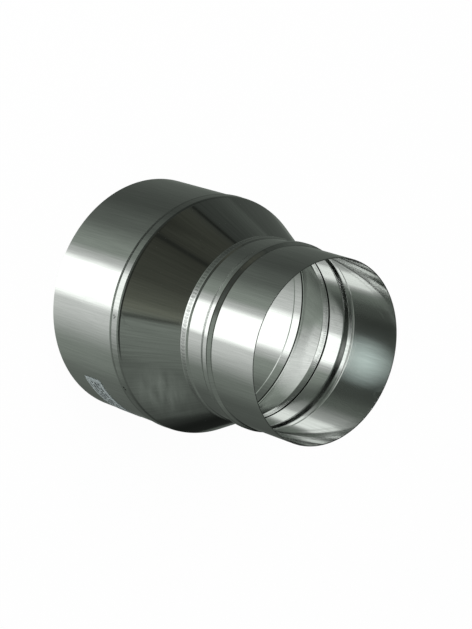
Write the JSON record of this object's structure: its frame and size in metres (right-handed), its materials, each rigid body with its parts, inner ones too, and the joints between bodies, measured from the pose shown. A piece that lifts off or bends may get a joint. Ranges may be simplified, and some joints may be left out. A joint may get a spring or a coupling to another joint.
{
  "type": "chimney adapter",
  "caption": "Concentric stainless flue adapter: a wide plain collar, a reducing cone and a narrow sleeve with a rolled stop bead, lapped and seam-welded.",
  "frame": {"origin": "centre of the wide rim, on the surface that the adapter stands on", "axes": "+Z along the flue's axis from the wide collar to the narrow sleeve; the paper label is on the +X, -Y side of the wide collar"},
  "size_m": [0.1976, 0.1976, 0.2231],
  "materials": {
    "bright_sheet": "bright rolled stainless sheet",
    "satin_sheet": "satin stainless sheet with fine draw marks",
    "label_paper": "semi-gloss sticker"
  },
  "bodies": {
    "root": {"large_collar": "bright_sheet", "reducing_cone": "satin_sheet", "small_collar": "bright_sheet", "label": "label_paper"}
  },
  "joints": []
}
